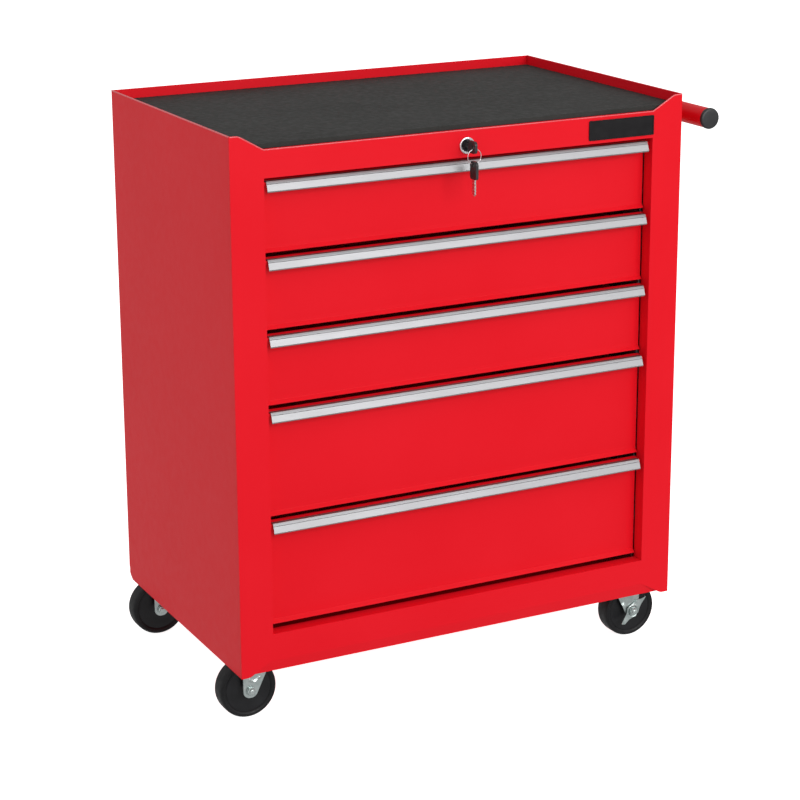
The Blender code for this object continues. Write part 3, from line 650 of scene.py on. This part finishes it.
# ---------------------------------------------------------------- drawers
def drawer_pull(node):
    """Extruded pull: flat web, shoulder, groove and a sloping face with a turned-in foot."""
    low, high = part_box(node)
    corners = [(0.0109, 0.0), (0.0050, 0.0, 0.0008), (0.0034, -0.0025, 0.0003),
               (0.0031, -0.0031), (0.0036, -0.0034), (0.0029, -0.0038),
               (0.0000, -0.0119, 0.0006), (0.0010, -0.0136, 0.0002), (0.0018, -0.0128),
               (0.0013, -0.0121, 0.0004), (0.0040, -0.0043, 0.0004),
               (0.0056, -0.0012, 0.0004), (0.0109, -0.0012)]
    outline = [(low.y + depth, high.z + drop) for depth, drop in fillet(corners, step=20.0)]
    work = rounded(slab(outline, "X", low.x, high.x), 0.00015, segments=1, angle=60.0)
    stand_for(node, work, sharp=25.0)


def drawer(number):
    """Front, tray and runners with rounded edges, the pull, and the rivets of the runners."""
    name = f"drawer_{number}_"
    for part in ("front", "tray"):
        refine(name + part, width=0.0004, segments=3)
    for side in ("left", "right"):
        refine(f"{name}runner_{side}", width=0.0003)
    drawer_pull(name + "pull")
    rivets = bmesh.new()
    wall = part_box(name + "tray")[1].x - MIDDLE_X - TRAY_SHEET
    slide = middle_of(name + "runner_left")
    for side in (-1, 1):
        for reach in RUNNER_RIVETS:
            place = (MIDDLE_X + side * wall, slide.y + reach, slide.z)
            dome(rivets, "X", place, -side, radius=0.0030, height=0.0009)
    piece(name + "rivets", rivets, f"drawer_{number}", "slide_steel")


# ---------------------------------------------------------------- lock and keys
def lock():
    """Chromed barrel with a rolled lip, its dark plug, and the rod and bar behind them."""
    axis = middle_of("lock_barrel")
    low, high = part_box("lock_barrel")
    outer, bore = (high.x - low.x) / 2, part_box("lock_plug")[1].x - axis.x + 0.0004
    axis.y = 0.0
    profile = [(bore, high.y), (bore, low.y + 0.0012), (bore + 0.0003, low.y + 0.0005),
               (bore + 0.0010, low.y), (outer - 0.0014, low.y),
               (outer - 0.0006, low.y + 0.0002), (outer - 0.0001, low.y + 0.0009),
               (outer, low.y + 0.0016), (outer, FACE_Y - 0.0003),
               (outer - 0.0018, FACE_Y - 0.0003), (outer - 0.0018, high.y)]
    stand_for("lock_barrel", turned(profile, "Y", axis, closed=True))
    stand_for("lock_plug", solid_of("lock_plug"), sharp=25.0, look="lock_face")
    refine("lock_rod", width=0.0002)
    refine("lock_bar", width=0.0003)


def key(node, end, shoulder, tip, place):
    """Moulded bow with a thumb recess from end to shoulder; ground blade on to tip.

    place turns a distance along the key and one across it into Y and Z.
    """
    body = body_of_node[node]
    side = 1 if tip > shoulder else -1
    hole, middle = end + side * 0.0050, (end + shoulder) / 2 + side * 0.0028
    half_length, half_width, depth = abs(shoulder - end) * 0.28, 0.0056, 0.0005
    head = fillet([(end, -BOW_HALF, 0.0050), (end, BOW_HALF, 0.0050),
                   (shoulder, BOW_HALF, 0.0025), (shoulder, -BOW_HALF, 0.0025)])
    centre = place(middle, 0.0)
    along_z = abs(place(1.0, 0.0)[1] - place(0.0, 0.0)[1]) > 0.5

    def recess(a, b, facing):
        along, across = (b - centre[1], a - centre[0]) if along_z else (a - centre[0],
                                                                       b - centre[1])
        inside = 1.0 - (along / half_length) ** 2 - (across / half_width) ** 2
        return -facing * depth * min(1.0, max(0.0, inside * 3.0))

    eye = [place(a, b) for a, b in circle(hole, 0.0, KEY_EYE, count=24)]
    outline = [place(a, b) for a, b in head]
    bow = pressed(outline, "X", MIDDLE_X - BOW_THICK / 2, MIDDLE_X + BOW_THICK / 2,
                  cell=0.0008, relief=recess, holes=[eye])
    piece(f"{node}_bow", rounded(bow, PRESS_ROUND, angle=PRESS_EDGE), body, "black_plastic")

    notches, point, spacing, notch_floor = [], 0.003, 0.004, 0.0012 - BLADE_HALF
    for k in range(4):
        start = tip - side * (point + spacing * k)
        notches += [(start, -BLADE_HALF), (start - side * 0.0015, notch_floor),
                    (start - side * 0.0025, notch_floor)]
    root = shoulder - side * 0.003
    flat = [(root, BLADE_HALF), (tip - side * point, BLADE_HALF), (tip, 0.0), *notches,
            (root, -BLADE_HALF)]

    def groove(a, b, facing):
        across = a - centre[0] if along_z else b - centre[1]
        return -facing * 0.0004 * exp(-((across - 0.0010) / 0.0006) ** 2)

    blade = pressed([place(a, b) for a, b in flat], "X", MIDDLE_X - BLADE_THICK / 2,
                    MIDDLE_X + BLADE_THICK / 2, cell=0.0006, relief=groove)
    stand_for(node, blade)


def keys():
    """The key in the lock, the split ring in its eye and the spare key on the ring."""
    low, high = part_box("key")
    level = middle_of("lock_barrel").z
    key("key", low.y, low.y + 0.0190, high.y, lambda along, across: (along, level + across))
    low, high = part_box("spare_key")
    y = (low.y + high.y) / 2
    key("spare_key", high.z, high.z - 0.0230, low.z, lambda along, across: (y + across, along))
    centre = middle_of("key_ring")
    low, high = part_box("key_ring")
    radius = (high.z - low.z) / 2 - 0.0008
    turns, steps, spread, wire = 2, 128, 0.0008, 0.00045
    coil = []
    for k in range(steps + 1):
        angle = 2 * pi * turns * k / steps
        coil.append((centre.x + radius * cos(angle), centre.y + spread * (k / steps - 0.5),
                     centre.z + radius * sin(angle)))
    stand_for("key_ring", curve_mesh([(coil, False)], bevel=wire, sides=3), sharp=60.0)


# ---------------------------------------------------------------- casters
def wheel(node):
    """Smooth disc and hub in a black tyre with a raised rim line."""
    low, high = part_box(node)
    centre = middle_of(node)
    radius, hub = (high.z - low.z) / 2, (high.y - low.y) / 2
    tyre = [(radius - 0.0085, 0.0092), (radius - 0.0082, 0.0100), (radius - 0.0070, 0.0113),
            (radius - 0.0056, 0.0121), (radius - 0.0046, 0.0122), (radius - 0.0041, 0.0127),
            (radius - 0.0034, 0.0128), (radius - 0.0030, 0.0123), (radius - 0.0022, 0.0121),
            (radius - 0.0012, 0.0113), (radius - 0.0005, 0.0098), (radius - 0.0001, 0.0074),
            (radius, 0.0040)]
    disc = [(BORE, hub), (0.0070, hub), (0.0079, hub - 0.0004), (0.0084, hub - 0.0013),
            (0.0090, 0.0112), (0.0104, 0.0101), (0.0135, 0.0096), (0.0200, 0.0094),
            (0.0240, 0.0095), (0.0262, 0.0099), (radius - 0.0083, 0.0100)]

    def both_sides(half):
        return [(r, -w) for r, w in half] + [(r, w) for r, w in reversed(half)]

    stand_for(node, turned(both_sides(tyre), "Y", centre, steps=96, closed=True))
    core = turned(both_sides(disc), "Y", centre, steps=96, closed=True)
    piece(f"{node}_disc", core, body_of_node[node], "wheel_disc")


def axle(node, centre, nut_start):
    """Bolt through the fork: nut and thread end on the drawer side, head behind."""
    head_start = FORK_OUTER + 0.0004
    bolt_end, threads, pitch, thread_depth = nut_start + 0.0062, 4, 0.0006, 0.0004
    work = bmesh.new()
    shaft = [(0, -bolt_end), (AXLE_RADIUS - 0.0006, -bolt_end)]
    for k in range(threads):
        turn = -bolt_end + 0.0004 + pitch * k
        shaft += [(AXLE_RADIUS, turn), (AXLE_RADIUS - thread_depth, turn + pitch / 2)]
    shaft += [(AXLE_RADIUS, -nut_start), (AXLE_RADIUS, head_start), (0, head_start)]
    lathe(work, shaft, "Y", centre, steps=32)
    hexagon(work, "Y", centre - Vector((0.0, nut_start, 0.0)), -1)
    hexagon(work, "Y", centre + Vector((0.0, head_start, 0.0)), 1)
    stand_for(node, work)


def legs(outline, centre, relief):
    """Both pressed legs of a fork around a wheel centre; relief is outwards."""
    place = [(centre.x + a, centre.z + b) for a, b in fillet(outline)]
    hole = circle(centre.x, centre.z, BORE)
    made = []
    for side in (-1, 1):
        inner, outer = centre.y + side * FORK_INNER, centre.y + side * FORK_OUTER

        def shape(a, b, facing, side=side):
            return side * relief(a - centre.x, b - centre.z)

        leg = pressed(place, "Y", min(inner, outer), max(inner, outer),
                      cell=0.0014, relief=shape, holes=[hole])
        made.append(rounded(leg, PRESS_ROUND, angle=PRESS_EDGE))
    return made


def plate_bolts(name, places, height):
    """Bolts up through a caster's plate."""
    work = bmesh.new()
    for x, y in places:
        hexagon(work, "Z", (x, y, height), -1, radius=0.0052, height=0.0034)
    piece(name, work, "cabinet", "slide_steel")


def rigid_caster(end):
    """Fixed fork with a crescent pressed into each leg."""
    name = f"caster_{end}_left_"
    centre = middle_of(name + "wheel")
    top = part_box(name + "bracket")[1].z
    reach = top - centre.z - 0.001
    radius, width, depth = 0.0085, 0.0010, 0.0014

    def crescent(a, b):
        across, up = a - 0.0055, b - 0.0210
        ring = exp(-(((across ** 2 + up ** 2) ** 0.5 - radius) / width) ** 2)
        lower_part = min(1.0, max(0.0, (-0.0020 - up) / 0.0025))
        return depth * ring * lower_part

    outline = [(-0.010, -0.010, 0.0095), (0.007, -0.010, 0.0090), (0.0225, 0.022, 0.012),
               (0.024, 0.032), (0.024, reach), (-0.010, reach)]
    plate = round_rectangle(centre.x - 0.018, centre.x + 0.048, centre.y - 0.030,
                            centre.y + 0.030, PLATE_CORNER)
    stand_for(name + "bracket", merged(rounded(slab(plate, "Z", top - PLATE_SHEET, top), 0.0005),
                                       *legs(outline, centre, crescent)))
    places = [(centre.x + a, centre.y + b)
              for a in (-0.011, 0.040) for b in (-PLATE_BOLT, PLATE_BOLT)]
    plate_bolts(name + "bolts", places, top - PLATE_SHEET)
    axle(name + "axle", centre, FORK_OUTER + 0.0004)
    wheel(name + "wheel")


def brake_lever(node, centre):
    """Leaf-shaped lever with a raised ring around the axle and bent tips."""
    leaf = [(-0.0219, -0.0148, 0.001), (-0.0151, -0.0167, 0.002), (-0.0049, -0.0120, 0.012),
            (0.0029, -0.0093, 0.012), (0.0088, -0.0019, 0.012), (0.0146, 0.0093, 0.020),
            (0.0214, 0.0241, 0.0006), (0.0166, 0.0175, 0.010), (0.0078, 0.0150, 0.012),
            (-0.0085, 0.0062, 0.008), (-0.0105, -0.0046, 0.010)]
    spine = Vector((0.743, 0.668))                # from the lower tip to the upper one
    ring_radius, ring_width, ring_height = 0.0086, 0.0012, 0.0015

    def shape(a, b, facing):
        spot = Vector((a - centre.x, b - centre.z))
        ring = ring_height * exp(-((spot.length - ring_radius) / ring_width) ** 2)
        along = spot.dot(spine)
        tips = 0.38 * max(0.0, -0.0125 - along) + 0.30 * max(0.0, along - 0.0160)
        return -ring - tips

    outline = [(centre.x + a, centre.z + b) for a, b in fillet(leaf)]
    face = centre.y - FORK_OUTER - LEVER_GAP
    work = pressed(outline, "Y", face - LEVER_SHEET, face, cell=0.0011, relief=shape,
                   holes=[circle(centre.x, centre.z, BORE)])
    stand_for(node, rounded(work, 0.0005, angle=PRESS_EDGE), sharp=40.0)


def swivel_caster(end):
    """Turning fork under a ball race, with a brake lever on the drawer side."""
    name = f"caster_{end}_right_"
    centre = middle_of(name + "wheel")
    low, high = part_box(name + "plate")
    x, y = (low.x + high.x) / 2, (low.y + high.y) / 2
    plate = round_rectangle(low.x, high.x, low.y, high.y, PLATE_CORNER)
    race = fillet([(0.0, -0.0010), (0.0205, -0.0010, 0.0004), (0.0197, -0.0055, 0.0015),
                   (0.0165, -0.0080, 0.0006), (0.0045, -0.0080), (0.0045, -0.0112, 0.0003),
                   (0.0075, -0.0114, 0.0005), (0.0070, -0.0138, 0.0006), (0.0, -0.0142)])
    head = merged(rounded(slab(plate, "Z", high.z - PLATE_SHEET, high.z), 0.0005),
                  turned(race, "Z", (x, y, high.z)))
    stand_for(name + "plate", head)
    places = [(x + a, y + b)
              for a in (-PLATE_BOLT, PLATE_BOLT) for b in (-PLATE_BOLT, PLATE_BOLT)]
    plate_bolts(name + "bolts", places, high.z - PLATE_SHEET)

    crown_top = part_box(name + "fork")[1].z
    crown = fillet([(x - 0.017, y - FORK_OUTER, 0.012), (x + 0.032, y - FORK_OUTER),
                    (x + 0.032, y + FORK_OUTER), (x - 0.017, y + FORK_OUTER, 0.012)])
    pin_hole = circle(x, y, 0.0052)
    reach = crown_top - centre.z - 0.001
    outline = [(0.010, -0.010, 0.0095), (0.0125, reach), (-0.034, reach, 0.004),
               (-0.0223, 0.023, 0.030), (-0.007, -0.010, 0.0090)]

    def crease(a, b):
        upper_part = min(1.0, max(0.0, (b - 0.0090) / 0.0040))
        left_part = min(1.0, max(0.0, (-0.0118 - a) / 0.0015))
        return -0.0017 * upper_part * left_part

    bridge = slab(crown, "Z", crown_top - FORK_SHEET, crown_top, [pin_hole])
    stand_for(name + "fork", merged(rounded(bridge, PRESS_ROUND), *legs(outline, centre, crease)))
    axle(name + "axle", centre, FORK_OUTER + LEVER_GAP + LEVER_SHEET + 0.0005)
    brake_lever(name + "brake", centre)
    wheel(name + "wheel")


# ---------------------------------------------------------------- assembly
cabinet()
top_mat()
label_plate()
back_rivets()
side_handle()
for number in DRAWERS:
    drawer(number)
lock()
keys()
for end in ENDS:
    rigid_caster(end)
    swivel_caster(end)


# ---------------------------------------------------------------- floor, light and camera
def area_light(name, place, aim, size, power):
    lamp = bpy.data.lights.new(name, "AREA")
    lamp.shape = "RECTANGLE"
    lamp.size, lamp.size_y = size
    lamp.energy = power
    made = bpy.data.objects.new(name, lamp)
    bpy.context.scene.collection.objects.link(made)
    made.location = place
    made.rotation_euler = (Vector(aim) - Vector(place)).to_track_quat("-Z", "Y").to_euler()
    made.visible_camera = False


def studio():
    """A white glowing floor under a soft dim sky and four large lamps."""
    bpy.ops.mesh.primitive_plane_add(size=60.0, location=(0.0, 10.0, 0.0))
    floor = bpy.context.object
    floor.name = "floor"
    look = Look("floor", (0.90, 0.90, 0.90), 0.0, 0.85, Specular_IOR_Level=0.1)
    look.shader.inputs["Emission Color"].default_value = (1.0, 1.0, 1.0, 1.0)
    look.shader.inputs["Emission Strength"].default_value = FLOOR_GLOW
    floor.data.materials.append(look.material)
    floor.visible_diffuse = floor.visible_glossy = False
    world = bpy.data.worlds.new("studio")
    world.use_nodes = True
    sky = world.node_tree.nodes["Background"]
    sky.inputs["Color"].default_value = (1.0, 1.0, 1.0, 1.0)
    sky.inputs["Strength"].default_value = SKY
    bpy.context.scene.world = world
    bpy.context.scene.view_settings.view_transform = "Standard"
    area_light("key_light", (0.7, -3.5, 1.8), (0.0, 0.0, 0.45), (2.4, 1.8), 74.0)
    area_light("fill_light", (3.2, -2.0, 2.0), (0.0, 0.0, 0.40), (2.0, 2.0), 10.0)
    area_light("top_light", (0.2, 0.6, 3.6), (0.0, 0.0, 0.5), (2.6, 2.6), 2.0)
    area_light("side_light", (-3.4, -0.8, 1.6), (0.0, 0.0, 0.45), (2.4, 1.8), 11.0)


def camera():
    """Turned 26 degrees to the left of the front and 16 degrees down, on a long lens."""
    yaw, pitch, roll = radians(-26.36), radians(15.55), radians(-0.50)
    forward = Vector((-sin(yaw) * cos(pitch), cos(yaw) * cos(pitch), -sin(pitch)))
    right = Vector((cos(yaw), sin(yaw), 0.0))
    up = right.cross(forward)
    turned_right = cos(roll) * right + sin(roll) * up
    turned_up = -sin(roll) * right + cos(roll) * up
    lens = bpy.data.cameras.new("camera")
    lens.lens = CAMERA_LENS
    lens.sensor_width = 36.0
    lens.shift_x, lens.shift_y = CAMERA_SHIFT
    lens.clip_end = 200.0
    made = bpy.data.objects.new("camera", lens)
    bpy.context.scene.collection.objects.link(made)
    middle = Vector((MIDDLE_X, FACE_Y + 0.2, 0.0))
    turn = Matrix((turned_right, turned_up, -forward)).transposed().to_4x4()
    made.matrix_world = Matrix.Translation(middle + CAMERA_PLACE) @ turn
    bpy.context.scene.camera = made


studio()
camera()
